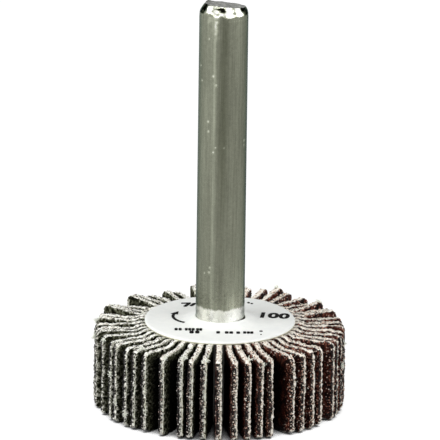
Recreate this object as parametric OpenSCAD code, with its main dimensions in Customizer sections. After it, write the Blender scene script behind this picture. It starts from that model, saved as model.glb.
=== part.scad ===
// Mounted flap wheel: strips of abrasive cloth bonded on edge around a resin core on a steel shank.
// The origin is the centre of the wheel's lower face, and +Z runs up the shank.
// Turning angles start at the front of the wheel, which is -Y, and grow towards +X.

/* [Wheel] */
// Diameter over the tips of the flaps
wheel_d = 30.6; // [26:0.1:40]
// Width of the abrasive cloth, which is the height of a flap
flap_w = 10; // [6:0.5:16]
// Thickness of the coated cloth, backing and grit together
flap_t = 0.86; // [0.6:0.02:1]
// Number of flaps around the core
flap_count = 52; // [40:1:56]
// Radius of the worn outer corners of a flap
tip_corner_r = 0.7; // [0.2:0.1:1.2]
// Furthest that a flap has slipped up from the lower face
slip_max = 0.1; // [0:0.02:0.3]
// Share of the uneven leaning of the flap tips
lean_share = 1; // [0:0.05:1.1]

/* [Resin core] */
// Resin between two neighbouring flaps at their inner ends
root_gap = 0.08; // [0.04:0.01:0.2]
// Depth of each flap that the resin holds
bond_depth = 1.2; // [0.6:0.1:2]
// Resin over the upper edges of the flaps
top_skin = 0.3; // [0.05:0.01:0.8]
// Height of the lower side of the core above the lower face
core_lift = 0.4; // [0.2:0.1:1.5]
// Width of the rim between the flaps and the hollow in the lower side of the core
hollow_rim = 1.8; // [0.5:0.1:2.2]
// Depth of that hollow
hollow_depth = 0.7; // [0.2:0.1:1.5]

/* [Label] */
// Thickness of the card disc
label_t = 0.4; // [0.1:0.02:0.8]
// Width of the disc that reaches past the core
label_lap = 0.26; // [0.1:0.02:1]
// Gap between the disc and the shank
label_gap = 0.2; // [0.05:0.05:1]
// Height of the collar of resin that lifts the disc around the shank
collar_h = 0.42; // [0.1:0.02:1]
// Width of that collar's slope
collar_w = 1.4; // [0.6:0.1:3]

/* [Shank] */
// Diameter of the shank
shank_d = 6; // [4:0.5:8]
// Length of the plain cylinder above the label's collar
shank_straight = 39; // [20:0.1:60]
// Height of the bevel, up to the middle of the sheared end
bevel_h = 0.8; // [0.5:0.1:1.5]
// Radius that the bevel takes off over one millimetre of height
bevel_slope = 0.7; // [0.3:0.05:1]
// Fall of the sheared end towards the back, degrees
shear_back = 9; // [0:0.5:12]
// Fall of the sheared end towards the right, degrees
shear_side = 5.5; // [0:0.5:12]
// Step down from the shank to its rough root in the resin
root_step = 0.25; // [0.2:0.05:0.5]
// Resin left under the shank
root_cover = 1.2; // [0.8:0.1:2]
// Number of ring grooves that the resin grips
groove_count = 2; // [1:1:3]
// Depth of a ring groove
groove_depth = 0.4; // [0.2:0.05:0.8]
// Width of a ring groove
groove_w = 0.9; // [0.4:0.1:1]

/* [Hidden] */
eps = 0.01;
pitch = 360 / flap_count;

// Flaps packed side by side fix how near the axis their inner ends can reach
root_r = (flap_t + root_gap) / 2 / tan(pitch / 2);
core_r = root_r + bond_depth;
tip_r = wheel_d / 2;
core_top = flap_w + slip_max + top_skin;
collar_top = core_top + collar_h + label_t;
label_r = core_r + label_lap;
hollow_r = root_r - hollow_rim;

shank_r = shank_d / 2;
stem_r = shank_r - root_step;
hole_r = shank_r + label_gap;
collar_r = hole_r + collar_w;
root_z = core_lift + hollow_depth + root_cover;
bevel_z = collar_top + shank_straight;
end_z = bevel_z + bevel_h;
groove_step = (core_top - root_z) / (groove_count + 1);

// The flap that stands nearest the middle of the front, and how far it is off it
front_flap = 11;
front_turn = -0.4;

// Lean of each tip as a share of the flap pitch, from the left of the front to the right
FRONT_LEAN = [
    -0.5, 0, 0.3, -0.1, 0, -0.2, -0.3, 0.1, 0.45, 0.1, 0, 0,
    0.1, 0, -0.15, -0.45, 0.2, 0.1, 0, -0.15, 0.45, 0.15, 0.05
];
rear_lean = 0.2;
golden_turn = 137.5;

// A flap bends away from its straight root along a curve of this power
bend_power = 1.5;
bend_steps = 6;

function turn(i) = (i - front_flap) * pitch + front_turn;
function lean(i) = lean_share * (i < len(FRONT_LEAN) ? FRONT_LEAN[i] : rear_lean * sin(i * golden_turn));
function slip(i) = slip_max * abs(sin(i * golden_turn));
function reach(k) = core_r + (tip_r - core_r) * k / bend_steps;
function drift(i, k) = lean(i) * pitch * PI / 180 * tip_r * pow(k / bend_steps, bend_power);
function flap_name(i) = str("flap_", i < 9 ? "0" : "", i + 1);

// Solid of the shank, whose root the core is moulded around
module shank_body() {
    difference() {
        union() {
            translate([0, 0, root_z]) cylinder(r = stem_r, h = collar_top - root_z, $fn = 96);
            translate([0, 0, collar_top]) cylinder(r = shank_r, h = shank_straight, $fn = 96);
            translate([0, 0, bevel_z])
                cylinder(r1 = shank_r, r2 = shank_r - bevel_slope * 2 * bevel_h, h = 2 * bevel_h, $fn = 96);
        }
        translate([0, 0, end_z]) rotate([-shear_back, shear_side, 0])
            translate([-shank_d, -shank_d, 0]) cube([2 * shank_d, 2 * shank_d, shank_d]);
        for (k = [1:groove_count])
            translate([0, 0, root_z + k * groove_step - groove_w / 2]) groove_ring();
    }
}

module groove_ring() {
    difference() {
        cylinder(r = shank_r, h = groove_w, $fn = 96);
        translate([0, 0, -eps]) cylinder(r = stem_r - groove_depth, h = groove_w + 2 * eps, $fn = 96);
    }
}

// Place of a flap: x runs out along it, and y points at the next flap
module at_flap(i) {
    rotate([0, 0, turn(i) - 90]) translate([0, 0, slip(i)]) children();
}

// Outline of a flap seen on its face, with its two outer corners worn round
module flap_face() {
    translate([root_r, 0]) square([tip_r - tip_corner_r - root_r, flap_w]);
    translate([root_r, tip_corner_r]) square([tip_r - root_r, flap_w - 2 * tip_corner_r]);
    for (z = [tip_corner_r, flap_w - tip_corner_r])
        translate([tip_r - tip_corner_r, z]) circle(r = tip_corner_r, $fn = 32);
}

// Outline of a flap seen from above: straight in the resin, then bent to its lean
module flap_plan(i) {
    near_side = [for (k = [0:bend_steps]) [reach(k), drift(i, k) - flap_t / 2]];
    far_side = [for (k = [bend_steps:-1:0]) [reach(k), drift(i, k) + flap_t / 2]];
    polygon(concat([[root_r, -flap_t / 2]], near_side, far_side, [[root_r, flap_t / 2]]));
}

module spindle() {
    color("#85877b") shank_body();
}

module resin_core() {
    color("#4a443b") difference() {
        union() {
            translate([0, 0, core_lift]) cylinder(r = core_r, h = core_top - core_lift, $fn = 120);
            translate([0, 0, core_top]) cylinder(r1 = collar_r, r2 = hole_r, h = collar_h, $fn = 96);
        }
        translate([0, 0, core_lift - eps]) cylinder(r = hollow_r, h = hollow_depth + eps, $fn = 96);
        shank_body();
        for (i = [0:flap_count - 1]) at_flap(i)
            translate([root_r, -flap_t / 2, -slip_max - eps])
                cube([bond_depth + eps, flap_t, flap_w + slip_max + eps]);
    }
}

module label() {
    color("#e6e8e5") translate([0, 0, core_top]) rotate_extrude($fn = 120) polygon([
        [hole_r, collar_h], [collar_r, 0], [label_r, 0],
        [label_r, label_t], [collar_r, label_t], [hole_r, collar_h + label_t]
    ]);
}

module flap(i) {
    color("#5b4c44") at_flap(i) intersection() {
        linear_extrude(flap_w) flap_plan(i);
        rotate([90, 0, 0]) linear_extrude(flap_w, center = true) flap_face();
    }
}

spindle();
resin_core();
label();
for (i = [0:flap_count - 1])
    flap(i);
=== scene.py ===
import math
from functools import partial

import bpy
import numpy as np
from mathutils import Matrix, Vector, noise


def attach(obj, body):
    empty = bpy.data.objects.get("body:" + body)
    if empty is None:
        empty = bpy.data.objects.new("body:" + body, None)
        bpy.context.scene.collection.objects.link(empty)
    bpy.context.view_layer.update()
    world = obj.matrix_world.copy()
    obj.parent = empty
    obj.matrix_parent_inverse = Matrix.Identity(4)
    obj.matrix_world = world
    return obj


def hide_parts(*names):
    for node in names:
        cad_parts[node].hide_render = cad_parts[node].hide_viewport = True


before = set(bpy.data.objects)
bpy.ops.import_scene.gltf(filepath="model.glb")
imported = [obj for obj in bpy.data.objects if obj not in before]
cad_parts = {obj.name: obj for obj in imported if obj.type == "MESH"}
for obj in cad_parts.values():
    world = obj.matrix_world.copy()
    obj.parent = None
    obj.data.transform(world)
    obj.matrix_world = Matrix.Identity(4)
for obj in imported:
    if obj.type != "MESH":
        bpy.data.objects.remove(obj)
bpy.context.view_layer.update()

# --- Spindle ----------------------------------
# The steel shank is a 6 mm drawn bar, tumbled, so it is satin with fine lines along it.
# Its free end was sheared off and its edge rounded over. Its rough, grooved root is
# turned down a little, and the resin is cast around it.

MM = 0.001
SHANK_R = 3.0
STEM_R = 2.75
GROOVE_R = 2.35
ROOT_Z = 2.3
COLLAR_TOP = 11.22
BEVEL_Z = 50.22
END_Z = 51.02
BEVEL_SLOPE = 0.7
SHEAR_BACK = math.tan(math.radians(9))
SHEAR_SIDE = math.tan(math.radians(5.5))
GROOVES = [5.0, 7.7]
# Corners of a ring groove: radius, and height from its middle
GROOVE_CORNERS = [(STEM_R, -0.45), (GROOVE_R, -0.40), (GROOVE_R, 0.40), (STEM_R, 0.45)]
COLUMNS, STRAIGHT_ROWS, BEVEL_ROWS, END_RINGS = 160, 250, 26, 18


def linear(hex_colour):
    """An sRGB hex colour as the linear colour with alpha that a shader takes."""
    parts = [int(hex_colour[i:i + 2], 16) / 255 for i in (1, 3, 5)]
    return [c / 12.92 if c <= 0.04045 else ((c + 0.055) / 1.055) ** 2.4 for c in parts] + [1.0]


def add_node(tree, kind, inputs=(), stops=(), **settings):
    """Adds one node. Its kind is named without its prefix, and its operation or type of data may
    follow. A list fills its inputs in their order, and a dictionary fills them by name. They
    take values, sockets, or nodes, which give their first output."""
    kind, _, choice = kind.partition(" ")
    node = tree.nodes.new(next(
        prefix + kind for prefix in ("ShaderNode", "GeometryNode", "FunctionNode", "Node")
        if hasattr(bpy.types, prefix + kind)))
    if choice:
        setattr(node, "operation" if hasattr(node, "operation") else "data_type", choice)
    for name, value in settings.items():
        setattr(node, name, value)
    if stops:
        ramp = node.color_ramp.elements
        while len(ramp) < len(stops):
            ramp.new(1)
        for element, (place, colour) in zip(ramp, stops):
            element.position = place
            element.color = linear(colour)
    usable = [s for s in node.inputs if s.enabled]
    sockets = {**{s.name: s for s in reversed(usable)}, **dict(enumerate(usable))}
    for key, value in inputs.items() if isinstance(inputs, dict) else enumerate(inputs):
        if isinstance(value, bpy.types.Node):
            value = next(s for s in value.outputs if s.enabled)
        if isinstance(value, bpy.types.NodeSocket):
            tree.links.new(value, sockets[key])
        else:
            sockets[key].default_value = value
    return node


def new_material(name, *stored):
    """An empty material, what adds a node to it, and the values stored on the mesh that it reads."""
    material = bpy.data.materials.new(name)
    material.use_nodes = True
    material.node_tree.nodes.clear()
    add = partial(add_node, material.node_tree)
    return material, add, *(add("Attribute", attribute_name=field).outputs[
        "Vector" if field == "cloth_place" else "Fac"] for field in stored)


def graded(add, tone, value, *span):
    """A tone times a factor. The span gives the value's low and high end, and the factor at each."""
    return add("VectorMath SCALE", [tone, add("MapRange", [value, *span])])


def new_object(name, data):
    """An object in the scene."""
    item = bpy.data.objects.new(name, data)
    bpy.context.scene.collection.objects.link(item)
    return item


def new_piece(name, points, faces, material):
    """A mesh object at the origin, from points in millimetres."""
    mesh = bpy.data.meshes.new(name)
    mesh.from_pydata((np.asarray(points, float) * MM).tolist(), [], [list(f) for f in faces])
    mesh.validate()
    mesh.materials.append(material)
    mesh.shade_smooth()
    return new_object(name, mesh)


def wobble(x, y, z):
    """Smooth noise at a place, between -1 and 1."""
    return noise.noise(Vector((x, y, z)))


# Small dents from tumbling: degrees from the front towards the right, height, size, depth
DENTS = [
    (-23.9, 42.73, 0.24, 0.050), (-16.1, 41.62, 0.20, 0.060), (-58.6, 41.85, 0.22, 0.040),
    (-64.3, 43.69, 0.20, 0.040), (-35.9, 47.40, 0.18, 0.040), (-15.6, 33.64, 0.18, 0.040),
    (-21.7, 33.03, 0.20, 0.050), (4.5, 33.67, 0.16, 0.025), (-36.0, 36.84, 0.24, 0.025),
    (-34.5, 35.60, 0.24, 0.025), (63.0, 34.20, 0.26, 0.040), (62.0, 33.60, 0.20, 0.030),
    (-28.4, 17.60, 0.26, 0.030), (-27.0, 18.20, 0.20, 0.030), (-41.0, 17.40, 0.18, 0.025)]
spread = np.random.default_rng(7)
DENTS += [(75 + 205 * spread.random(), 14 + 34 * spread.random(), 0.14 + 0.12 * spread.random(),
           0.02 + 0.03 * spread.random()) for dent in range(26)]
# Bands of tone along the bar, painted reflections: middle in degrees from the front, half width, change
BANDS = [(-78, 12, 0.055), (-46, 20, 0.022), (-28, 8, 0.008), (-20.5, 4.5, 0.088),
         (30, 12, -0.004), (58, 9, -0.018), (86, 12, -0.090)]
BANDS += [(100 + 160 * spread.random(), 4 + 14 * spread.random(), 0.16 * spread.random() - 0.08)
          for band in range(14)]
# Painted highlights and shade on the rounded edge, in patches: middle, half width, change
PAINTED_EDGE_LIGHT = [(-72, 12, -0.30), (-40, 11, 0.50), (-22, 6, 0.30), (-7, 7, 0.42), (14, 11, 0.60),
          (30, 4, -0.10), (43, 13, 0.55), (74, 10, -0.34)]
PAINTED_EDGE_LIGHT += [(95 + 170 * spread.random(), 6 + 10 * spread.random(), 0.5 * spread.random() - 0.1)
           for patch in range(9)]
# Nicks in that edge: middle, height, half width in degrees, half height, depth
NICKS = [(-15, 51.15, 9, 0.07, 0.06), (-6, 51.14, 6, 0.13, 0.11), (-2.5, 50.92, 5.5, 0.14, 0.14),
         (62, 50.80, 5, 0.17, 0.12), (-66, 50.95, 6, 0.2, 0.09), (-30, 50.9, 2, 0.06, 0.03),
         (-46, 51.46, 15, 0.09, 0.030)]
# Where the rounding-over starts, in lobes: middle, half width, rise above its mean line
LOBES = [(-70, 12, -0.02), (-38, 15, 0.42), (-8, 9, 0.16), (16, 9, -0.10), (40, 10, -0.04),
         (68, 20, -0.20), (120, 20, 0.15), (165, 18, -0.1), (205, 16, 0.2), (250, 22, -0.05)]
around = np.arange(COLUMNS) * 2 * math.pi / COLUMNS
from_front = np.degrees(around)
across, deep = np.sin(around), -np.cos(around)


def apart(degrees, middle):
    """Degrees around the bar from a middle, between -180 and 180."""
    return (degrees - middle + 180) % 360 - 180


def bumps_around(degrees, places):
    """Sum of smooth bumps around the bar, each given by its middle, half width and height."""
    return sum(rise * np.exp(-(apart(degrees, middle) / width) ** 2) for middle, width, rise in places)


def end_plane(x, y):
    """Height of the sheared end."""
    return END_Z - SHEAR_BACK * y - SHEAR_SIDE * x


def rounded(heights):
    """Radius of the rounding-over, which sets in softly."""
    run = heights - start
    return SHANK_R - BEVEL_SLOPE * (run + np.sqrt(run ** 2 + 0.04)) / 2


def hoop(radius, height):
    """One ring of points. The radius and the height may change around the bar."""
    return list(zip(radius * across, radius * deep, np.broadcast_to(height, COLUMNS)))


profile = [(STEM_R - 0.15, ROOT_Z), (STEM_R, ROOT_Z + 0.15)]
profile += [(radius, middle + off) for middle in GROOVES for radius, off in GROOVE_CORNERS]
profile += [(STEM_R, COLLAR_TOP - 0.02), (STEM_R + 0.02, COLLAR_TOP), (SHANK_R - 0.03, COLLAR_TOP),
            (SHANK_R, COLLAR_TOP + 0.03)]
points = [point for radius, height in profile for point in hoop(radius, height)]
for height in np.linspace(COLLAR_TOP + 0.1, BEVEL_Z - 0.55, STRAIGHT_ROWS):
    radius = np.full(COLUMNS, SHANK_R)
    for turned, level, size, depth in DENTS:
        if abs(level - height) < 2 * size:
            off = np.radians(apart(from_front, turned)) * SHANK_R
            radius -= depth * np.exp(-((off / size) ** 2 + ((height - level) / size) ** 2) * 2.2)
    points += hoop(radius, height)

# The rounding-over runs from the scalloped line up to the sheared plane
start = BEVEL_Z + 0.06 + bumps_around(from_front, LOBES)
rim_z = np.full(COLUMNS, END_Z)
for settling in range(12):
    rim_z = end_plane(rounded(rim_z) * across, rounded(rim_z) * deep)
lumps = np.array([wobble(2.2 * x, 2.2 * y, 0.4) for x, y in zip(3 * across, 3 * deep)])
for row in range(BEVEL_ROWS):
    share = row / (BEVEL_ROWS - 1)
    height = (BEVEL_Z - 0.5) + (rim_z - (BEVEL_Z - 0.5)) * share
    # The tumbled edge is faceted and nicked
    mottle = np.array([wobble(1.3 * x, 1.3 * y, 0.9 * z) + 0.5 * wobble(3 * x, 3 * y, 2 * z)
                       for x, y, z in zip(3 * across, 3 * deep, height)])
    radius = rounded(height) + 0.13 * mottle * np.clip((height - start) * 2.5 + 0.3, 0, 1)
    for turned, level, wide, tall, depth in NICKS:
        radius -= depth * np.exp(-(apart(from_front, turned) / wide) ** 2 - ((height - level) / tall) ** 2)
    # A thin burr stands up at the left of the back, where the shear left the bar last
    burr = np.exp(-(apart(from_front, 228) / 12) ** 2) * share ** 10 * 0.2
    points += hoop(radius, height + burr + 0.03 * lumps * share ** 4)
for inner_ring in range(1, END_RINGS):
    share = 1 - inner_ring / END_RINGS
    xs, ys = radius * across * share, radius * deep * share
    for x, y, z in zip(xs, ys, end_plane(xs, ys)):
        rough = 0.05 * wobble(2.4 * x, 2.4 * y, 3.0) + 0.03 * wobble(6 * x, 6 * y, 9)
        points.append((x, y, z + rough - 0.05 * (1 - share)))
top_ring = len(points) - COLUMNS
sides = list(zip(range(COLUMNS), [*range(1, COLUMNS), 0]))
faces = [(r + c, r + d, r + COLUMNS + d, r + COLUMNS + c) for r in range(0, top_ring, COLUMNS) for c, d in sides]
points += [(0, 0, ROOT_Z), (0, 0, END_Z - 0.06)]
faces += [(len(points) - 2, d, c) for c, d in sides]
faces += [(len(points) - 1, top_ring + c, top_ring + d) for c, d in sides]

# Drawn steel, tumbled: a mid grey metal with a faint olive cast. Drawing leaves fine lines
# along the bar. Soft upright bands of painted reflection run through its tone.
drawn_steel, add, band = new_material("drawn_steel_tumbled", "tone_and_painted_reflections")
where = add("TexCoord").outputs["Object"]
# Bands of tone 1 to 2 mm wide, painted reflections, run the whole length of the bar
band_tone = add("ValToRGB", [band], [
    (0.02, "#0b0b08"), (0.26, "#414335"), (0.36, "#5b5d4f"), (0.44, "#717365"), (0.52, "#868979"),
    (0.62, "#aeb19f"), (0.80, "#fdfdf8")])
# Drawing lines are about 0.03 mm wide, drawn at 0.15 mm so that they show
fine = add("Mapping", {"Vector": where, "Scale": (1, 1, 0.03)})
lines = add("TexNoise", [fine, 6500, 2, 0.7])
lined = graded(add, band_tone, lines, 0.35, 0.65, 0.88, 1.12)
# Speckle from tumbling, about 0.3 mm across
speckle = add("TexNoise", [where, 2600, 3, 0.6])
speckled = graded(add, lined, speckle, 0.3, 0.7, 0.93, 1.07)
# The foot is painted with the bright reflection of the label, up to a ragged line
ragged = add("TexNoise", [fine, 1900, 3, 0.7])
height = add("SeparateXYZ", [where]).outputs["Z"]
foot = add("MapRange", [add("Math MULTIPLY_ADD", [ragged, 0.0010, height]), 0.01345, 0.0132])
bright = add("ValToRGB", [band], [(0.40, "#e2e2d8"), (0.48, "#dadacf"), (0.58, "#f2f2ec")])
with_foot = add("Mix RGBA", [foot, speckled, bright])
# The sheared face is grey and torn
facing_up = add("SeparateXYZ", [add("NewGeometry").outputs["Normal"]]).outputs["Z"]
torn = add("MapRange", [facing_up, 0.86, 0.94])
torn_tone = add("ValToRGB", [add("TexNoise", [where, 1500, 4, 0.7])], [
    (0.34, "#454642"), (0.46, "#6d6e6a"), (0.56, "#83847f"), (0.68, "#aaaba6")])
line_bump = add("Bump", {"Height": lines, "Strength": 0.12, "Distance": 0.00004})
add("OutputMaterial", [add("BsdfPrincipled", {
    "Base Color": add("Mix RGBA", [torn, with_foot, torn_tone]), "Metallic": 1.0,
    "Roughness": add("Mix", [torn, add("MapRange", [speckle, 0, 1, 0.20, 0.36]), 0.5]),
    "Normal": add("Bump", {"Height": speckle, "Strength": 0.35, "Distance": 0.0001, "Normal": line_bump}),
    "Specular Tint": add("Mix RGBA", [torn, linear("#98a2a5"), linear("#ffffff")])})])

spindle = new_piece("steel_shank", points, faces, drawn_steel)
tones = np.empty(len(points))
for index, (x, y, z) in enumerate(points):
    a = math.degrees(math.atan2(x, -y))
    below_edge, above_foot = max(0, BEVEL_Z - z), max(0, z - 13.5)
    # A painted dark reflection at the front fades down the bar, and a painted reflection of the label lightens the bar
    # near its foot
    painted_dark_reflection = bumps_around(a, [(1, 12, -0.100 + 0.050 * min(max((36 - z) / 14, 0), 1))])
    painted_foot_reflection = math.exp(-above_foot / 2.2) * bumps_around(a, [(-4, 13, 0.10), (28, 18, 0.14), (58, 14, 0.17)])
    drift = wobble(x * 0.9, y * 0.9, z * 0.07) * 0.035 + wobble(x * 3, y * 3, z * 0.16) * 0.02
    # Tumbling lightened the first millimetres below the rounded edge
    worn_light = 0.03 * math.exp(-below_edge / 4) * (1 + wobble(x * 2, y * 2, z * 2))
    # The bands of tone are painted reflections
    tone = 0.452 + bumps_around(a, BANDS) + painted_dark_reflection + drift + worn_light + painted_foot_reflection
    # A wavy, lighter streak runs down from the rounded edge, and a lighter zone lies below the edge at the left: both
    # are painted highlights
    wavy = -16 - 1.5 * math.sin(2.6 * z) + 2.5 * wobble(0, 5, 3 * z)
    broken = 1 + 1.6 * wobble(x * 2.6, y * 2.6, z * 2.6)
    tone += 0.09 * broken * math.exp(-((a - wavy) / 5) ** 2) / (1 + math.exp(-(z - 47.6) * 5))
    tone += 0.045 * broken * math.exp(-below_edge / 2.5) * bumps_around(a, [(-38, 20, 1.0)])
    # On the rounded edge the tone turns to the painted highlights and shade, darker in the nicks
    above_edge = z - (BEVEL_Z + 0.02 + bumps_around(a, LOBES))
    if above_edge > 0:
        nick = sum(12 * depth * math.exp(-((a - turned) / wide) ** 2 - ((z - level) / tall) ** 2)
                   for turned, level, wide, tall, depth in NICKS)
        painted_edge_tone = 0.40 + bumps_around(a, PAINTED_EDGE_LIGHT) + 0.10 * wobble(x * 2.5, y * 2.5, z * 2.5) - nick
        tone += (painted_edge_tone - tone) * min(above_edge / 0.08, 1)
    # Each dent also carries a painted highlight
    for turned, level, size, _ in DENTS:
        if abs(z - level) < 0.4:
            off = math.radians(apart(a, turned)) * SHANK_R
            near = ((off / size) ** 2 + ((z - level) / size) ** 2) * 3
            tone += 0.24 * math.exp(-near) if near < 9 else 0
    tones[index] = tone
spindle.data.attributes.new("tone_and_painted_reflections", "FLOAT", "POINT").data.foreach_set("value", tones)
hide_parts("spindle")
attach(spindle, "root")

# --- Resin core -------------------------------
# The core is epoxy, cast in place around the shank's root and the inner ends of the flaps.
# It hides under the label and shows between the flaps and on the underside of the wheel.

# Cast epoxy, filled: dark brown, glossy where it met the mould, with small bubbles.
cast_epoxy, add = new_material("cast_epoxy_filled")
where = add("TexCoord").outputs["Object"]
clouds = add("TexNoise", [where, 420, 4, 0.6])
# Bubbles of about 0.3 mm break the skin
bubbles = add("TexVoronoi", [where, 1500]).outputs["Distance"]
pits = add("MapRange", [bubbles, 0.08, 0.26])
add("OutputMaterial", [add("BsdfPrincipled", {
    "Base Color": add("ValToRGB", [clouds], [(0.32, "#2f2a24"), (0.52, "#4a443b"), (0.7, "#655d50")]),
    "Roughness": add("MapRange", [clouds, 0, 1, 0.25, 0.5]), "IOR": 1.55,
    "Normal": add("Bump", {"Height": pits, "Strength": 0.5, "Distance": 0.0001})})])
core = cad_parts["resin_core"]
core.data.materials.clear()
core.data.materials.append(cast_epoxy)

# --- Label ------------------------------------
# A disc of coated paper with a hole for the shank is glued over the core. A low collar
# of resin around the shank lifts its middle. It was punched, so its edge is clean.

CORE_TOP = 10.4
LABEL_T = 0.4
LABEL_R = 9.23
HOLE_R = 3.2
COLLAR_H = 0.42
COLLAR_R = 4.6
LABEL_COLUMNS = 224

# Radius and share of the collar's height, from the hole out along the upper face
upper = [(SHANK_R + 0.02, 1.10), (3.10, 1.04), (3.24, 1.0), (3.30, 0.97), (3.40, 0.90), (3.6, 0.74),
         (3.9, 0.50), (4.2, 0.25), (4.45, 0.08), (4.7, 0.0)]
upper += [(r, 0.0) for r in np.linspace(5.1, LABEL_R - 0.3, 12)]
ring = [(r, CORE_TOP + COLLAR_H * lift + LABEL_T) for r, lift in upper]
# The punch pressed the upper edge round
ring += [(LABEL_R - back, CORE_TOP + LABEL_T - down)
         for back, down in ((0.16, 0.02), (0.07, 0.07), (0.02, 0.15), (0, 0.24))]
ring += [(LABEL_R, CORE_TOP + 0.05), (LABEL_R - 0.04, CORE_TOP), (COLLAR_R, CORE_TOP),
         (HOLE_R, CORE_TOP + COLLAR_H), (SHANK_R + 0.02, CORE_TOP + COLLAR_H)]
points = []
for radius, level in ring:
    for c in range(LABEL_COLUMNS):
        a = 2 * math.pi * c / LABEL_COLUMNS
        # The paper is not quite flat: its edge lifts and dips by a few hundredths
        wave = 0.03 * max(0, (radius - 5) / 4) ** 2 * (math.sin(3 * a + 0.6) + 0.6 * math.sin(7 * a + 2))
        # The hole was punched off centre, so it stands open at the right of the shank
        open_by = 0.26 * math.exp(-((math.degrees(a) - 66) / 20) ** 2) * max(0, 1 - (radius - SHANK_R) / 0.8)
        reach = radius + open_by
        points.append((reach * math.sin(a), -reach * math.cos(a), level + max(wave, -0.02)))
sides = list(zip(range(LABEL_COLUMNS), [*range(1, LABEL_COLUMNS), 0]))
starts = [LABEL_COLUMNS * k for k in range(len(ring))]
faces = [(r + c, n + c, n + d, r + d) for r, n in zip(starts, starts[1:] + [0]) for c, d in sides]

# Coated paper: cool white and smooth, with a soft sheen and a faint cloudiness of the fibres.
coated_paper, add = new_material("coated_paper")
where = add("TexCoord").outputs["Object"]
cloudy = add("TexNoise", [where, 700, 4, 0.55])
paper_tone = add("ValToRGB", [cloudy], [(0.3, "#eceeec"), (0.5, "#f1f3f0"), (0.7, "#f5f6f3")])
# Paper fibre is about 0.05 mm wide, drawn at 0.12 mm so that it shows
fibre = add("TexNoise", [where, 8000, 2])
# The lower part of the cut edge shows the raw, yellowish card under the coating, darkened as painted shade
cut = add("MapRange", [add("SeparateXYZ", [where]).outputs["Z"], 0.01060, 0.01050])
add("OutputMaterial", [add("BsdfPrincipled", {
    "Base Color": add("Mix RGBA", [cut, paper_tone, linear("#bfbda2")]),
    "Roughness": add("MapRange", [cloudy, 0, 1, 0.42, 0.56]), "IOR": 1.5,
    "Normal": add("Bump", {"Height": fibre, "Strength": 0.12, "Distance": 0.00002})})])

label = new_piece("paper_disc", points, faces, coated_paper)
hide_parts("label")
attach(label, "root")

# --- Print on the label -----------------------
# One black ink, laid on by a press. It shows which way the wheel turns, with a plain
# number and rows of plain marks. Each mark is a film a few hundredths thick on the paper.

PAPER_Z = CORE_TOP + LABEL_T - 0.02
INK_TOP = CORE_TOP + LABEL_T + 0.045
ARROW_X, ARROW_Y, ARROW_R, ARROW_W = -2.9, 0.75, 2.87, 0.36
# Rows of plain marks: where each stands along x, then y, length, width and slope
MARKS = [
    ((-5.35, -4.85), -4.42, 0.38, 0.84, 0), ((-4.1, -3.68, -3.26, -2.72, -2.34), -4.42, 0.35, 0.88, 0),
    ((-3.45, -2.75), -5.48, 0.52, 0.95, 0), ((-0.2, 0.85, 1.4, 2.25), -5.48, 0.46, 0.84, 0),
    ((3.05, 3.5, 3.92), -5.40, 0.38, 0.84, 0), ((5.05,), -4.80, 0.40, 0.45, 0), ((5.05,), -6.1, 0.18, 0.3, 0),
    ((-4.1,), 5.2, 0.42, 1.35, -24), ((-3.35,), 5.4, 0.42, 1.25, -24), ((-4.2,), 5.95, 1.2, 0.36, 4),
    ((3.5,), 6.4, 0.30, 0.5, 14), ((3.9,), 6.1, 0.30, 0.4, 14)]

# Printing ink: near black, a little uneven where the paper took less of it.
printing_ink, add = new_material("black_printing_ink")
uneven = add("TexNoise", [add("TexCoord").outputs["Object"], 5200, 3])
add("OutputMaterial", [add("BsdfPrincipled", {
    "Base Color": add("ValToRGB", [uneven], [(0.35, "#0a0909"), (0.6, "#151413"), (0.78, "#343434")]),
    "Roughness": 0.8, "IOR": 1.5, "Specular IOR Level": 0.06,
    "Normal": add("Bump", {"Height": uneven, "Strength": 0.2, "Distance": 0.00001})})])


def film(outlines):
    """Points and faces of flat films on the paper, one for each outline, which runs anticlockwise."""
    points, faces = [], []
    for outline in outlines:
        first, count = len(points), len(outline)
        points += [(x, y, z) for z in (PAPER_Z, INK_TOP) for x, y in outline]
        faces += [range(first + count - 1, first - 1, -1), range(first + count, first + 2 * count)]
        faces += [(first + k, first + n, first + count + n, first + count + k)
                  for k, n in zip(range(count), [*range(1, count), 0])]
    return points, faces


def bar(x, y, length, width, slope):
    """Outline of a short bar with its corners cut, centred at x, y and turned by slope degrees."""
    c, s = math.cos(math.radians(slope)), math.sin(math.radians(slope))
    l, w, k = length / 2, width / 2, min(length, width) * 0.25
    corners = [(-l + k, -w), (l - k, -w), (l, -w + k), (l, w - k), (l - k, w), (-l + k, w), (-l, w - k), (-l, -w + k)]
    return [(x + c * u - s * v, y + s * u + c * v) for u, v in corners]


def by_arrow(off, degrees):
    """A point at a distance off the middle line of the arrow's arc."""
    a = math.radians(degrees)
    return ARROW_X + (ARROW_R + off) * math.cos(a), ARROW_Y + (ARROW_R + off) * math.sin(a)


# The turning arrow is an arc at the left of the label with a head at its upper end
steps = [240 - 3.7 * k for k in range(22)]
arrow = [[by_arrow(off * ARROW_W / 2, a) for off, a in ((1, n), (1, m), (-1, m), (-1, n))]
         for m, n in zip(steps, steps[1:])]
arrow.append([by_arrow(-0.50, 163), by_arrow(0, 140), by_arrow(0.42, 163)])
marks = new_piece("ink_arrow_and_marks", *film(
    arrow + [bar(x, *sizes) for places, *sizes in MARKS for x in places]), printing_ink)
marks.data.shade_flat()
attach(marks, "root")

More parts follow.
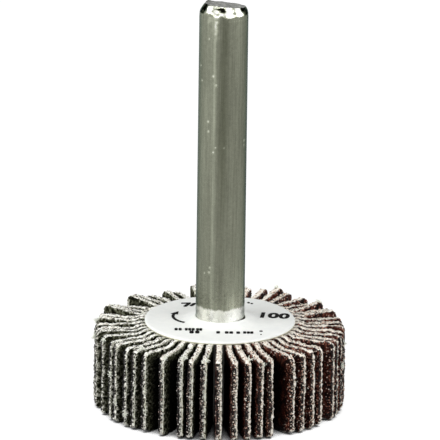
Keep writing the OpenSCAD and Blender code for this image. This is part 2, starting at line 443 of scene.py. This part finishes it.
# The plain number at the right stands upright to someone in front of the wheel
letters = bpy.data.curves.new("ink_number_outline", "FONT")
letters.body = "100"
letters.size = 2.8 * MM
letters.extrude = (INK_TOP - PAPER_Z) / 2 * MM
letters.offset = 0.11 * MM
letters.align_x = letters.align_y = "CENTER"
letters.resolution_u = 3
shown = new_object("ink_number_outline", letters)
bpy.context.view_layer.update()
digits = bpy.data.meshes.new_from_object(shown.evaluated_get(bpy.context.evaluated_depsgraph_get()))
bpy.data.objects.remove(shown)
digits.transform(Matrix.Translation(Vector((6.55, 1.35, (PAPER_Z + INK_TOP) / 2)) * MM)
                 @ Matrix.Rotation(math.radians(-6), 4, "Z") @ Matrix.Diagonal((0.95, 0.95, 1, 1)))
digits.materials.clear()
digits.materials.append(printing_ink)
number = new_object("ink_number", digits)
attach(number, "root")

# --- Flaps ------------------------------------
# 52 strips of abrasive cloth stand on edge around the core. Each is woven cotton with
# aluminium oxide grain bonded to its clockwise side. They were slit and cut to length,
# so every edge shows cut yarn and broken grain, and the free corners are worn round.

CORE_R = 8.97
ROOT_R = 7.77
TIP_R = 15.3
FLAP_W = 10.0
FLAP_T = 0.86
TIP_CORNER = 0.7
LOW_CORNER = 0.4
FLAP_COUNT = 52
PITCH = 360 / FLAP_COUNT
FRONT_FLAP, FRONT_TURN = 11, -0.4
SLIP_MAX = 0.1
BEND_POWER = 1.5
FRONT_LEAN = [-0.5, 0, 0.3, -0.1, 0, -0.2, -0.3, 0.1, 0.45, 0.1, 0, 0,
              0.1, 0, -0.15, -0.45, 0.2, 0.1, 0, -0.15, 0.45, 0.15, 0.05]
REAR_LEAN, GOLDEN_TURN = 0.2, math.radians(137.5)
FRAY, GRAIN_R, FIBRE_R, THREAD_GAP = 0.21, 0.11, 0.026, 0.42
# How many stand on a square metre of edge
GRAIN_DENSITY, FIBRE_DENSITY, TUFT_DENSITY = 4.5e6, 0.5e6, 3.0e8
GRIT_FACE, CLOTH_FACE, GRIT_TIP, GRIT_SLIT, YARN_EDGE, LOOSE_GRAIN, LOOSE_FIBRE = range(7)


def with_painted_glints(add, coat, place, least, core, stops):
    """The coat with painted glints, pale specks in its grains of about 0.22 mm, the bump of the
    grains, and the random colour of each. Least is the share of the grains that have no glint."""
    grains = add("TexVoronoi", [place, 4500]).outputs
    own = add("SeparateColor", [grains["Color"]]).outputs
    middle = add("MapRange", [grains["Distance"], *core])
    share = add("Math MULTIPLY", [add("Math GREATER_THAN", [own["Red"], least]), middle])
    relief = add("Bump", {"Height": grains["Distance"], "Strength": 0.8, "Distance": 0.00012}, invert=True)
    return add("Mix RGBA", [share, coat, add("ValToRGB", [own["Green"]], stops)]), relief, own


def greyed(add, tone, dust, saturation, value=1.0):
    """A tone that turns grey with the share of dust."""
    grey = add("HueSaturation", {"Saturation": saturation, "Value": value, "Color": tone})
    return add("Mix RGBA", [dust, tone, grey])


# Coated abrasive: brown aluminium oxide in a red-brown phenolic size coat, with painted glints.
# The coat is darkened towards the core and left lighter towards the tip: painted shade between the flaps.
coated_grit, add, place, from_edge, dust = new_material(
    "aluminium_oxide_in_phenolic_coat", "cloth_place", "from_edge", "dust")
clotted = add("Mapping", {"Vector": place, "Scale": (1, 1, 0.6)})
coat_tone = add("ValToRGB", [add("TexNoise", [clotted, 1900, 4, 0.7])], [
    (0.36, "#040100"), (0.47, "#1d0906"), (0.58, "#4f2217"), (0.70, "#9a6450")])
# Painted glints, more of them near the edges
fewer_inwards = add("MapRange", [from_edge, 0.0001, 0.0013, 0.28, 0.96])
tone, relief, own = with_painted_glints(add, coat_tone, place, fewer_inwards, (0.42, 0.28), [
    (0.0, "#955542"), (0.5, "#d6a58e"), (1.0, "#fde8d8")])
# Painted shade between the flaps: the coat darkens away from the edges
coat_with_painted_shade = graded(add, tone, from_edge, 0.0005, 0.0024, 1.0, 0.05)
add("OutputMaterial", [add("BsdfPrincipled", {
    "Base Color": greyed(add, coat_with_painted_shade, dust, 0.25, 0.8), "IOR": 1.6, "Specular IOR Level": 0.06,
    "Roughness": add("MapRange", [own["Blue"], 0, 1, 0.40, 0.7]), "Normal": relief})])

# Broken grain across the tips: dark red-brown coat with painted glints, pale specks, in it.
broken_grit, add, place, dust = new_material("broken_aluminium_oxide", "cloth_place", "dust")
clots = add("TexNoise", [place, 3400, 3, 0.7])
coat_tone = add("ValToRGB", [clots], [
    (0.44, "#020000"), (0.54, "#100503"), (0.63, "#3a170e"), (0.73, "#6b3f30")])
tone, relief, _ = with_painted_glints(add, coat_tone, place, 0.55, (0.46, 0.36), [
    (0.0, "#a3634a"), (0.3, "#ebc4a9"), (0.65, "#fff2e2")])
# On the most dusty flaps, at the left of the wheel, the grit side is darkened as painted shade
painted_shade_when_dusty = graded(add, greyed(add, tone, dust, 0.6), dust, 0.72, 0.9, 1.0, 0.10)
# Dust and fluff from the yarn hide the coat on the cloth side of a dusty flap
across_cloth = add("SeparateXYZ", [place]).outputs["Y"]
dusty_tone = add("ValToRGB", [clots], [
    (0.41, "#080805"), (0.46, "#5a584e"), (0.51, "#cdcbbf"), (0.58, "#fffef6")])
dust_share = add("Math MULTIPLY", [dust, add("MapRange", [across_cloth, -0.00005, 0.00003])])
tone = add("Mix RGBA", [dust_share, painted_shade_when_dusty, dusty_tone])
# Painted shade darkens the grit side of the tip, and reaches further in on a dusty flap
painted_shade_depth = add("Math MULTIPLY_ADD", [dust, -0.00013, across_cloth])
add("OutputMaterial", [add("BsdfPrincipled", {
    "Base Color": graded(add, tone, painted_shade_depth, -0.00032, -0.00010, 0.05, 1.0),
    "Roughness": 0.5, "IOR": 1.6, "Specular IOR Level": 0.08, "Normal": relief})])

# Slit grain along the upper and lower edges: the slitting blade broke every grain there, so most
# show a pale fracture, in rows along the cut with dark breaks between. Their paleness is in part painted light on the
# upper edges.
slit_grit, add, place, dust = new_material("slit_aluminium_oxide", "cloth_place", "dust")
drawn_out = add("Mapping", {"Vector": place, "Scale": (0.7, 1.1, 1)})
clots = add("TexNoise", [drawn_out, 3800, 3, 0.75])
across_cloth = add("SeparateXYZ", [place]).outputs["Y"]
rows_tone = add("ValToRGB", [clots], [
    (0.35, "#120604"), (0.385, "#7b4029"), (0.42, "#d8b497"), (0.455, "#fdeedc"), (0.51, "#fffaf0")])
dusty_tone = add("ValToRGB", [clots], [
    (0.34, "#14140e"), (0.385, "#56554a"), (0.42, "#bbb9aa"), (0.46, "#f0eee3"), (0.53, "#fffff9")])
# Painted shade: on a fresh flap the coat is darker along its grit side, and on every flap the grit side of the edge is
# darker still
fresh_tone = graded(add, rows_tone, across_cloth, -0.00036, -0.00016, 0.35, 1.0)
tone = add("Mix RGBA", [dust, fresh_tone, dusty_tone])
add("OutputMaterial", [add("BsdfPrincipled", {
    "Base Color": graded(add, tone, across_cloth, -0.00042, -0.00020, 0.30, 1.0),
    "Roughness": 0.6, "IOR": 1.6, "Specular IOR Level": 0.08,
    "Normal": add("Bump", {"Height": clots, "Strength": 0.9, "Distance": 0.00018})})])

# Cotton backing: plain weave under a dark olive filler, teased into fluff. Towards the core it is
# darkened to nearly black, painted shade between the flaps, and at the tip the filler has gone and bare cotton shows.
woven_cotton, add, place, from_edge = new_material("filled_cotton_weave", "cloth_place", "from_edge")
fluff = add("TexNoise", {"Vector": place, "Scale": 2300, "Detail": 4, "Roughness": 0.75, "Distortion": 0.6})
# Threads lie 0.42 mm apart both ways and show only faintly through the fluff
axes = add("SeparateXYZ", [place]).outputs
THREAD_WAY = math.pi / (THREAD_GAP * MM)
warp, weft = (add("Math SINE", [add("Math MULTIPLY", [axes[axis], THREAD_WAY])]) for axis in "XZ")
raised = add("Math MULTIPLY_ADD", [add("Math MULTIPLY", [warp, weft]), 0.04, fluff])
filler_tone = add("ValToRGB", [raised], [
    (0.40, "#070804"), (0.48, "#2a2b1c"), (0.56, "#5c5d4a"), (0.66, "#9b9c8b")])
# Painted shade between the flaps: the filler darkens away from the edges
filler_with_painted_shade = graded(add, filler_tone, from_edge, 0.0003, 0.0019, 1.0, 0.05)
fluff_way = add("Math MULTIPLY_ADD", [fluff, -0.0016, from_edge])
fluffy = add("MapRange", [fluff_way, -0.00050, -0.00085, 0.0, 0.9])
bare_cotton = add("ValToRGB", [raised], [
    (0.42, "#12120c"), (0.49, "#5d5d4e"), (0.55, "#bebdae"), (0.64, "#f6f5eb")])
add("OutputMaterial", [add("BsdfPrincipled", {
    "Base Color": add("Mix RGBA", [fluffy, filler_with_painted_shade, bare_cotton]),
    "Roughness": 0.9, "IOR": 1.5, "Specular IOR Level": 0.03,
    "Normal": add("Bump", {"Height": raised, "Strength": 0.8, "Distance": 0.00015})})])

# Cut yarn: the ends of undyed cotton threads, off-white, with few dark gaps between them.
cut_yarn, add, place, dust = new_material("cut_cotton_yarn", "cloth_place", "dust")
# Yarn ends of about 0.3 mm
ends = add("TexNoise", [place, 3200, 3, 0.7])
yarn_tone = add("ValToRGB", [ends], [
    (0.34, "#15140e"), (0.40, "#7d7564"), (0.45, "#dccfbf"), (0.51, "#fff4e6"), (0.57, "#fffbf2")])
# Dusty yarn has a faint green cast
add("OutputMaterial", [add("BsdfPrincipled", {
    "Base Color": add("Mix RGBA", [dust, yarn_tone, linear("#e0ebe2")], blend_type="MULTIPLY"),
    "Roughness": 0.9, "IOR": 1.5, "Specular IOR Level": 0.05,
    "Normal": add("Bump", {"Height": ends, "Strength": 0.8, "Distance": 0.00015})})])

# Single grains on the edges: crystals that differ in tone from near black to pale.
single_grain, add, tint, dust = new_material("aluminium_oxide_grain", "tint", "dust")
grain_tone = add("ValToRGB", [tint], [
    (0.0, "#060201"), (0.55, "#1c0a06"), (0.74, "#552c20"), (0.83, "#cfa38c"), (0.92, "#f9e8d8"), (1.0, "#fff9ee")])
frost = add("TexNoise", [add("TexCoord").outputs["Object"], 9000, 2])
add("OutputMaterial", [add("BsdfPrincipled", {
    "Base Color": greyed(add, grain_tone, dust, 0.3, 0.45), "Roughness": 0.35, "IOR": 1.76,
    "Specular IOR Level": 0.15,
    "Normal": add("Bump", {"Height": frost, "Strength": 0.2, "Distance": 0.00002})})])

# Loose cotton fibre: off-white, dull and translucent. Light shines through a fibre as much
# as it is thrown back.
loose_cotton, add, tint = new_material("loose_cotton_fibre", "tint")
fibre_tone = add("ValToRGB", [tint], [(0.0, "#a9a9a5"), (0.4, "#b9bab5"), (1.0, "#c8c9c5")])
add("OutputMaterial", [add("AddShader", [
    add("BsdfDiffuse", [fibre_tone]), add("BsdfTranslucent", [fibre_tone])])])
# In the order of the numbers of the layers
flap_finishes = [coated_grit, woven_cotton, broken_grit, slit_grit, cut_yarn, single_grain, loose_cotton]

# The flat blank: x runs outwards, y from the grit to the cloth, z up. Rows stand closest
# at the tip, where the wheel shows the flap's edge and the first millimetres of its face.
INSET = 0.06
NEAR_CORE, NEAR_TIP = CORE_R - 0.2, 12.4
columns_x = np.concatenate([np.linspace(ROOT_R, NEAR_CORE, 4)[:-1], np.linspace(NEAR_CORE, NEAR_TIP, 17)[:-1],
                            np.linspace(NEAR_TIP, TIP_R - INSET, 21)])
rows_z = np.linspace(INSET, FLAP_W - INSET, 69)
# Cotton is the last quarter of the thickness, behind the crease
layers_y = np.array([-0.5, -0.34, -0.17, 0.0, 0.13, 0.235, 0.5]) * FLAP_T
CREASE = 5
nx, nz, nt = len(columns_x), len(rows_z), len(layers_y)


def worn(x, z):
    """Moves a point of the square outline into the one with worn corners."""
    for end, side, r in ((rows_z[0], -1, LOW_CORNER), (rows_z[-1], 1, TIP_CORNER)):
        cx, cz = TIP_R - INSET - r, end - side * r
        a, b = (x - cx) / r, (z - cz) * side / r
        if a > 0 and b > 0:
            return cx + r * a * math.sqrt(1 - b * b / 2), cz + side * r * b * math.sqrt(1 - a * a / 2)
    return x, z


outline = [worn(x, z) for x in columns_x for z in rows_z]
blank_points = [(x, y, z) for y in (layers_y[0], layers_y[-1]) for x, z in outline]
ring = [(i, 0) for i in range(nx)] + [(nx - 1, j) for j in range(1, nz)]
ring += [(i, nz - 1) for i in range(nx - 2, -1, -1)] + [(0, j) for j in range(nz - 2, 0, -1)]
rim = {}
for m, (i, j) in enumerate(ring):
    rim[m, 0], rim[m, nt - 1] = i * nz + j, nx * nz + i * nz + j
    for k in range(1, nt - 1):
        rim[m, k] = len(blank_points)
        x, z = outline[i * nz + j]
        blank_points.append((x, layers_y[k], z))
blank_faces, blank_layers = [], []
for i in range(nx - 1):
    for j in range(nz - 1):
        q = [i * nz + j, (i + 1) * nz + j, (i + 1) * nz + j + 1, i * nz + j + 1]
        blank_faces += [q, [nx * nz + v for v in reversed(q)]]
        blank_layers += [GRIT_FACE, CLOTH_FACE]
for m, (i, j) in enumerate(ring):
    n = (m + 1) % len(ring)
    for k in range(nt - 1):
        blank_faces.append([rim[m, k], rim[m, k + 1], rim[n, k + 1], rim[n, k]])
        at_tip = i == nx - 1 and 0.3 < rows_z[j] < FLAP_W - 0.15
        blank_layers.append(YARN_EDGE if k >= CREASE else GRIT_TIP if at_tip else GRIT_SLIT)
# Outwards across the edge, which the fraying follows, and nothing on the faces
outwards = np.zeros((len(blank_points), 3))
for m, (i, j) in enumerate(ring):
    way = Vector((float(i == nx - 1), 0, float(j == nz - 1) - float(j == 0)))
    x, z = outline[i * nz + j]
    if abs(x - columns_x[i]) + abs(z - rows_z[j]) > 1e-6:
        r, cz = (LOW_CORNER, rows_z[0] + LOW_CORNER) if z < 5 else (TIP_CORNER, rows_z[-1] - TIP_CORNER)
        way = Vector((x - (TIP_R - INSET - r), 0, z - cz))
    if i == 0:
        way = Vector((0, 0, 0))
    # The grit's outer corner is worn back a little
    worn_back = 0.02 if way.x and way.z else 0.06
    for k, share in ((0, 1.0), (1, 0.2)):
        x, y, z = blank_points[rim[m, k]]
        blank_points[rim[m, k]] = (x - worn_back * share * way.normalized().x, y + 0.07 * (1 - k),
                                   z - worn_back * share * way.normalized().z)
    for k in range(nt):
        # The crease between cloth and grit stays back
        outwards[rim[m, k]] = way.normalized() * (-0.2 if k == CREASE else 1.0)

blank_mesh = bpy.data.meshes.new("flap_blank")
blank_mesh.from_pydata((np.array(blank_points) * MM).tolist(), [], blank_faces)
blank_mesh.attributes.new("layer", "INT", "FACE").data.foreach_set("value", blank_layers)
blank_mesh.attributes.new("outwards", "FLOAT_VECTOR", "POINT").data.foreach_set("vector", outwards.ravel())
blank_mesh.shade_smooth()

tree = bpy.data.node_groups.new("flap_of_abrasive_cloth", "GeometryNodeTree")
flap_inputs = {
    name: tree.interface.new_socket(name, in_out="INPUT", socket_type="NodeSocket" + kind).identifier
    for name, kind in (
        ("Blank", "Geometry"), ("Turn", "Float"), ("Tip Drift", "Float"), ("Slip", "Float"),
        ("Corner Rise", "Float"), ("Fray", "Float"), ("Dust", "Float"), ("Tuft Place", "Vector"),
        ("Tuft Size", "Float"), ("Grain Size", "Float"), ("Seed", "Int"))}
tree.interface.new_socket("Flap", in_out="OUTPUT", socket_type="NodeSocketGeometry")
add = partial(add_node, tree)
given = add("GroupInput").outputs
flat_place = add("InputPosition")
shift = add("VectorMath SCALE", [(0.0213, 0.0, 0.0137), given["Seed"]])
own_place = add("VectorMath ADD", [flat_place, shift])
axes = add("SeparateXYZ", [flat_place]).outputs
out, through, up = axes["X"], axes["Y"], axes["Z"]
# Wear reaches in from the tip, and from the upper edge six tenths as far
from_tip = add("Math SUBTRACT", [TIP_R * MM, out])
from_top = add("Math MULTIPLY_ADD", [up, -1.6, 1.6 * (FLAP_W + 0.04) * MM])
kept = given["Blank"]
for name, value, kind in (("cloth_place", own_place, "FLOAT_VECTOR"),
                          ("from_edge", add("Math MINIMUM", [from_tip, from_top]), "FLOAT"),
                          ("dust", given["Dust"], "FLOAT")):
    kept = add("StoreNamedAttribute", {"Geometry": kept, "Name": name, "Value": value}, data_type=kind)
# How free of the resin a point is, from 0 at the core to 1 a millimetre outside it
free = add("MapRange", [out, CORE_R * MM, (CORE_R + 1) * MM], interpolation_type="SMOOTHSTEP")
# The grit side is rough by up to a tenth of a millimetre
grit_side = add("MapRange", [through, -0.00025, -0.0004])
grit_cells = add("TexVoronoi", [own_place, 3300]).outputs["Distance"]
grit_move = add("Math MULTIPLY", [add("MapRange", [grit_cells, 0.0, 0.7, -0.00003, 0.00011]), grit_side])
# The cloth side is teased into fluff, in tufts about half a millimetre long
cloth_side = add("MapRange", [through, 0.00025, 0.0004])
tufts = add("TexNoise", [own_place, 2300, 3, 0.7])
weave_move = add("Math MULTIPLY", [add("MapRange", [tufts, 0.3, 0.7, -0.00012, 0.00002]), cloth_side])
face_move = add("Math MULTIPLY", [add("Math ADD", [grit_move, weave_move]), free])
# The edge frays outwards in the same tufts
tuft_rise = add("Math MULTIPLY", [add("MapRange", [tufts, 0.38, 0.66]), given["Fray"]])
outward = add("InputNamedAttribute FLOAT_VECTOR", {"Name": "outwards"})
frayed = add("VectorMath SCALE", [outward, add("Math MULTIPLY", [tuft_rise, free])])
# The lower edge was slit unevenly, and the upper edge is lifted where the resin wicked up it
low = add("MapRange", [up, 0.0014, 0.0])
uneven = add("TexNoise", [own_place, 420, 2])
short = add("Math MULTIPLY", [
    add("MapRange", [uneven, 0.35, 0.65, 0.0, 0.00028]), add("Math MULTIPLY", [low, free])])
high = add("MapRange", [up, 0.0088, 0.0098])
wicked = add("MapRange", [out, 0.0108, 0.0094, 0.0, 0.00040], interpolation_type="SMOOTHSTEP")
dips = add("MapRange", [uneven, 0.3, 0.7, -0.00016, 0.00006])
# The free upper corner is worn lower on one flap and teased higher on the next
out_share = add("MapRange", [out, CORE_R * MM, TIP_R * MM])
corner_move = add("Math MULTIPLY", [add("Math POWER", [out_share, 2.0]), given["Corner Rise"]])
top_move = add("Math MULTIPLY", [
    add("Math ADD", [add("Math ADD", [wicked, dips]), corner_move]), high])
# The flap bends away from its straight root
bend = add("Math MULTIPLY", [add("Math POWER", [out_share, BEND_POWER]), given["Tip Drift"]])
# A slow wander of the face keeps neighbouring flaps from looking stamped
wander = add("MapRange", [add("TexNoise", [own_place, 160, 1]), 0, 1, -0.00022, 0.00022])
wander_move = add("Math MULTIPLY", [wander, out_share])
# The line between cloth and grit runs ragged along the edges
inside = add("MapRange", [add("Math ABSOLUTE", [through]), FLAP_T / 2 * MM, 0.0002])
ragged = add("MapRange", [add("TexNoise", [own_place, 1700, 2]), 0.3, 0.7, -0.00013, 0.00009])
ragged_move = add("Math MULTIPLY", [ragged, inside])
sideways = add("Math ADD", [
    add("Math ADD", [face_move, bend]), add("Math ADD", [wander_move, ragged_move])])
upwards = add("Math ADD", [short, top_move])
stood = add("Transform", {
    "Geometry": add("SetPosition", {"Geometry": kept, "Offset": add("VectorMath ADD", [
        frayed, add("CombineXYZ", {"Y": sideways, "Z": upwards})])}),
    "Translation": add("CombineXYZ", {"Z": given["Slip"]}),
    "Rotation": add("CombineXYZ", {"Z": given["Turn"]})})

# Single grains stand on the edge, outside the resin and off the table, and on the grit face
# along the tip
layer = add("InputNamedAttribute INT", {"Name": "layer"})
on_face, on_tip, on_slit, on_yarn = (
    add("Compare EQUAL", [layer, wanted], data_type="INT")
    for wanted in (GRIT_FACE, GRIT_TIP, GRIT_SLIT, YARN_EDGE))
kept_place = add("InputNamedAttribute FLOAT_VECTOR", {"Name": "cloth_place"})
along = add("SeparateXYZ", [add("VectorMath SUBTRACT", [kept_place, shift])]).outputs
past_resin, past_table, near_tip = (
    add("Compare GREATER_THAN", [along[axis], least])
    for axis, least in (("X", 0.0093), ("Z", 0.0004), ("X", 0.0147)))
outside = add("BooleanMath AND", [past_resin, past_table])
edge_grains = add("BooleanMath AND", [add("BooleanMath OR", [on_tip, on_slit]), outside])
face_grains = add("BooleanMath AND", [on_face, near_tip])
grain_points = add("DistributePointsOnFaces", {
    "Mesh": stood, "Selection": add("BooleanMath OR", [edge_grains, face_grains]), "Density": GRAIN_DENSITY,
    "Seed": given["Seed"]})
# Fibres of about 0.02 mm stand out of the cut yarn, drawn at 0.05 mm so that they show.
# They are long and dense at the flap's one frayed tuft, if it has any.
tuft_way = add("VectorMath DISTANCE", [
    add("CombineXYZ", {"X": along["X"], "Z": along["Z"]}), given["Tuft Place"]])
in_tuft = add("MapRange", [tuft_way, given["Tuft Size"], 0.0], interpolation_type="SMOOTHSTEP")
fibre_points = add("DistributePointsOnFaces", {
    "Mesh": add("StoreNamedAttribute", {"Geometry": stood, "Name": "in_tuft", "Value": in_tuft}),
    "Selection": add("BooleanMath AND", [on_yarn, outside]),
    "Density": add("Math MULTIPLY_ADD", [in_tuft, TUFT_DENSITY, FIBRE_DENSITY]), "Seed": given["Seed"]})
fibre_tube = add("CurveToMesh", {
    "Curve": add("CurveQuadraticBezier", {
        "Resolution": 3, "Start": (0, 0, -0.00005), "Middle": (0.00002, 0, 0.00022),
        "End": (0.00020, 0.00006, 0.00026)}),
    "Profile Curve": add("CurvePrimitiveCircle", {"Resolution": 3, "Radius": FIBRE_R * MM}),
    "Fill Caps": True})
fibre_turn = add("RotateRotation", {
    "Rotation": fibre_points.outputs["Rotation"], "Rotate By": add("RandomValue FLOAT_VECTOR", {
        "Min": (-0.7, -0.7, 0.0), "Max": (0.7, 0.7, 6.28), "Seed": 11})},
    rotation_space="LOCAL")
tuft_length = add("Math MULTIPLY_ADD", [add("InputNamedAttribute", {"Name": "in_tuft"}), 0.8, 0.8])


def strewn(points, shape, shape_layer, tint, turn, size):
    """Copies of one small shape on strewn points, each with a tint of its own."""
    tinted = add("StoreNamedAttribute", {"Geometry": points.outputs["Points"], "Name": "tint", "Value": tint})
    return add("InstanceOnPoints", {
        "Points": add("RemoveAttribute", {"Geometry": tinted, "Name": "layer"}),
        "Instance": add("StoreNamedAttribute", {"Geometry": shape, "Name": "layer", "Value": shape_layer},
                        data_type="INT", domain="FACE"),
        "Rotation": turn, "Scale": size})


# The slit edges carry paler grains than the tips, in part painted light on the upper edges
set_grains = strewn(
    grain_points, add("MeshIcoSphere", {"Radius": given["Grain Size"], "Subdivisions": 1}), LOOSE_GRAIN,
    add("Math MULTIPLY_ADD", [on_slit, 0.45, add("RandomValue", {"Seed": 7})]),
    add("RandomValue FLOAT_VECTOR", {"Max": (6.28, 6.28, 6.28), "Seed": 3}),
    add("RandomValue FLOAT_VECTOR", {"Min": (0.5, 0.5, 0.5), "Max": (1.2, 1.0, 1.4), "Seed": 5}))
set_fibres = strewn(
    fibre_points, fibre_tube, LOOSE_FIBRE, add("RandomValue", {"Seed": 17}), fibre_turn,
    add("Math MULTIPLY", [add("RandomValue", {"Min": 0.5, "Max": 1.3, "Seed": 13}), tuft_length]))
joined = add("JoinGeometry")
for part in (stood, set_grains, set_fibres):
    tree.links.new(part.outputs[0], joined.inputs[0])
whole = add("RealizeInstances", [joined])
for layer_number, finish in enumerate(flap_finishes):
    is_layer = add("Compare EQUAL", [layer, layer_number], data_type="INT")
    whole = add("SetMaterial", [whole, is_layer, finish])
add("GroupOutput", [whole])

# Share of dust that greys the grain: the left of the wheel is dusty, the right is fresh. It also sets the painted shade
# on the grit side of the dusty flaps.
DUST = [1, 1, 1, 0.95, 0.95, 0.9, 0.85, 0.7, 0.8, 0.55, 0.7, 0.3, 0.15, 0.1]
DUST += [0.05] * (37 - len(DUST)) + [0.9] * (FLAP_COUNT - 37)
# Frayed tufts: flap, place outwards and up, size
TUFTS = {
    1: (15.2, 9.6, 0.3), 2: (15.2, 6.0, 0.4), 3: (15.2, 2.6, 0.3), 4: (15.2, 1.8, 0.5), 5: (14.3, 9.9, 0.8),
    6: (15.1, 3.0, 0.25), 7: (14.9, 9.9, 0.45), 8: (14.5, 9.9, 0.5), 10: (14.7, 9.9, 0.25),
    13: (14.5, 9.9, 0.3), 14: (15.1, 9.5, 0.25), 22: (15.2, 6.0, 0.3), 23: (15.2, 8.4, 0.4),
    29: (15.1, 9.9, 0.6), 33: (15.1, 9.9, 0.9), 35: (15.1, 9.9, 0.4), 38: (15.1, 9.9, 0.4),
    43: (15.1, 9.9, 0.5), 46: (15.1, 9.8, 0.5), 49: (15.2, 9.8, 0.7), 51: (15.2, 9.0, 0.5)}
NO_TUFT = (0, 0, 0.1)
# How much the free upper corner stands above its mean line, or lies below it
CORNERS = {27: 0.25, 29: 0.3, 30: -0.35, 31: 0.15, 32: 0.2, 33: 0.65, 34: 0.3, 36: 0.2, 38: 0.2, 39: 0.5,
           40: -0.4, 42: -0.25, 43: 0.1, 44: 0.45, 45: -0.5, 47: 0.75}
flaps = []
for i in range(FLAP_COUNT):
    lean = FRONT_LEAN[i] if i < len(FRONT_LEAN) else REAR_LEAN * math.sin(i * GOLDEN_TURN)
    tuft_x, tuft_z, tuft_size = TUFTS.get(i, NO_TUFT)
    flap = new_object(f"abrasive_flap_{i + 1:02d}", blank_mesh)
    shape = flap.modifiers.new("flap_of_abrasive_cloth", "NODES")
    shape.node_group = tree
    for name, value in {
            "Turn": math.radians((i - FRONT_FLAP) * PITCH + FRONT_TURN - 90),
            "Tip Drift": lean * math.radians(PITCH) * TIP_R * MM,
            "Slip": SLIP_MAX * abs(math.sin(i * GOLDEN_TURN)) * MM,
            "Corner Rise": CORNERS.get(i, 0) * MM, "Fray": FRAY * MM, "Dust": DUST[i],
            "Tuft Place": [tuft_x * MM, 0, tuft_z * MM], "Tuft Size": tuft_size * MM,
            "Grain Size": GRAIN_R * MM, "Seed": i + 1}.items():
        shape[flap_inputs[name]] = value
    flaps.append(flap)
settled = bpy.context.evaluated_depsgraph_get()
grown = [bpy.data.meshes.new_from_object(flap.evaluated_get(settled)) for flap in flaps]
for i, (flap, mesh) in enumerate(zip(flaps, grown)):
    flap.modifiers.clear()
    flap.data = mesh
    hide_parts(f"flap_{i + 1:02d}")
    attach(flap, "root")

# --- Floor, lamps, world and camera -----------
# A plain white table under a white studio, with two soft lamps in front, one at each side
# and one above. The table and the world look white to the camera and in reflections, and
# light nothing more.

FLOOR_HALF, FLOOR_Z = 3000, -0.02
WHITE = (1, 1, 1, 1)


def looked_at(add):
    """1 where the camera sees a surface, straight or in a reflection, and 0 where light does."""
    path = add("LightPath").outputs
    seen = add("Math MAXIMUM", [path["Is Camera Ray"], path["Is Glossy Ray"]])
    return add("Math MAXIMUM", [seen, path["Is Transmission Ray"]])


# A white, matt table top. Under the wheel and between the flaps no light reaches it.
white_table, add = new_material("white_table")
reached = add("AmbientOcclusion", {"Distance": 0.003}, samples=8).outputs["AO"]
glow = add("MapRange", [reached, 0.30, 0.54, 0.0, 0.96], interpolation_type="SMOOTHSTEP")
shown_table = add("AddShader", [
    add("BsdfDiffuse", [(0.12, 0.12, 0.12, 1)]), add("Emission", [WHITE, glow])])
surface = add("MixShader", [looked_at(add), add("BsdfDiffuse", [linear("#8c8c8c")]), shown_table])
below = add("NewGeometry").outputs["Backfacing"]
add("OutputMaterial", [add("MixShader", [below, surface, add("BsdfTransparent")])])
floor = new_piece("floor", [(x * FLOOR_HALF, y * FLOOR_HALF, FLOOR_Z) for x, y in ((-1, -1), (1, -1), (1, 1), (-1, 1))],
                  [(0, 1, 2, 3)], white_table)

world = bpy.data.worlds.new("white_studio")
bpy.context.scene.world = world
world.use_nodes = True
world.node_tree.nodes.clear()
add = partial(add_node, world.node_tree)
add("OutputWorld", [add("MixShader", [
    looked_at(add), add("Background", [WHITE, 0.17]), add("Background", [WHITE, 1.0])])])

AIM, LAMP_DEPTH = Vector((0, 0, 20)) * MM, 0.2
# Name, degrees to the right of the front, degrees up, distance, size and power
for name, turned, raised, distance, size, power in (
        ("left_lamp", -54, 24, 0.5, 0.55, 1.9), ("right_lamp", 42, 24, 0.5, 0.5, 1.15),
        ("far_left_lamp", -88, 22, 0.5, 0.3, 0.7), ("far_right_lamp", 82, 22, 0.5, 0.3, 0.65),
        ("top_lamp", 10, 84, 0.6, 0.4, 0.72)):
    lamp = bpy.data.lights.new(name, "AREA")
    lamp.shape = "RECTANGLE"
    lamp.size, lamp.size_y, lamp.energy = size, LAMP_DEPTH, power
    holder = new_object(name, lamp)
    a, e = math.radians(turned), math.radians(raised)
    holder.location = AIM + distance * Vector((math.sin(a) * math.cos(e), -math.cos(a) * math.cos(e), math.sin(e)))
    holder.rotation_euler = (AIM - holder.location).to_track_quat("-Z", "Y").to_euler()
    holder.visible_camera = False

# The camera stands far off with a long lens, 17.65 degrees up, and is rolled a little
UP, ROLL, AWAY = math.radians(17.65), math.radians(0.75), 1.8
camera = bpy.data.cameras.new("camera")
camera.lens = 1203
camera.sensor_width = 36
camera.clip_start, camera.clip_end = 0.1, 10
viewer = new_object("camera", camera)
viewer.location = Vector((-0.15, 0, 23.5)) * MM + AWAY * Vector((0, -math.cos(UP), math.sin(UP)))
viewer.rotation_euler = (Matrix.Rotation(math.radians(90) - UP, 4, "X") @ Matrix.Rotation(ROLL, 4, "Z")).to_euler()
bpy.context.scene.camera = viewer
bpy.context.scene.view_settings.view_transform = "Standard"
